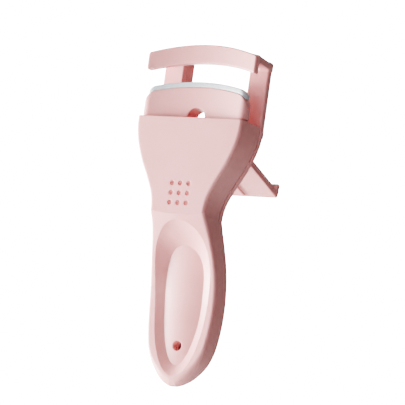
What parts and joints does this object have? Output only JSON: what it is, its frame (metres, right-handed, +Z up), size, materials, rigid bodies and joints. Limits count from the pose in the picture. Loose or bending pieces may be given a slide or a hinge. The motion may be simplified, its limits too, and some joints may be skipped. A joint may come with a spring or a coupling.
{
  "type": "eyelash curler",
  "caption": "Flat eyelash curler: curved fixed bar over a sliding jaw with a soft pad, closed by a rear press lever, on a handle with a thumb scoop.",
  "frame": {"origin": "middle of the overall box, level with the lower tip of the handle", "axes": "+Z up the long axis from the handle to the bar, -Y out of the flat front face, +X to the right of that face; the press lever sticks out towards +Y"},
  "size_m": [0.0378, 0.042, 0.1047],
  "materials": {
    "pink_plastic": "satin pale pink moulded ABS",
    "clear_silicone": "translucent bluish white silicone",
    "steel": "bright drawn steel"
  },
  "bodies": {
    "casing": {"front_shell": "pink_plastic", "thumb_insert": "pink_plastic", "back_cover": "pink_plastic", "jaw_frame": "pink_plastic", "lever_pin": "steel", "return_spring_left": "steel", "return_spring_right": "steel", "case_screw_1": "steel", "case_screw_2": "steel", "case_screw_3": "steel", "case_screw_4": "steel"},
    "lever": {"press_lever": "pink_plastic", "drive_pin": "steel"},
    "jaw": {"lower_jaw": "pink_plastic", "silicone_pad": "clear_silicone"}
  },
  "joints": [
    {"name": "lever_hinge", "type": "hinge", "parent": "casing", "child": "lever", "pos_m": [0, -0.00411, 0.0735], "axis": [-1, 0, 0], "range_deg": [0, 55]},
    {"name": "jaw_slide", "type": "slide", "parent": "casing", "child": "jaw", "axis": [0, 0, 1], "range_m": [0, 0.0059], "stiffness_N_per_m": 150, "springref_m": -0.004, "deforming": ["return_spring_left", "return_spring_right"]}
  ],
  "couplings": [
    {"joint": "lever_hinge", "follows": "jaw_slide", "rad_per_m": 162.69}
  ]
}
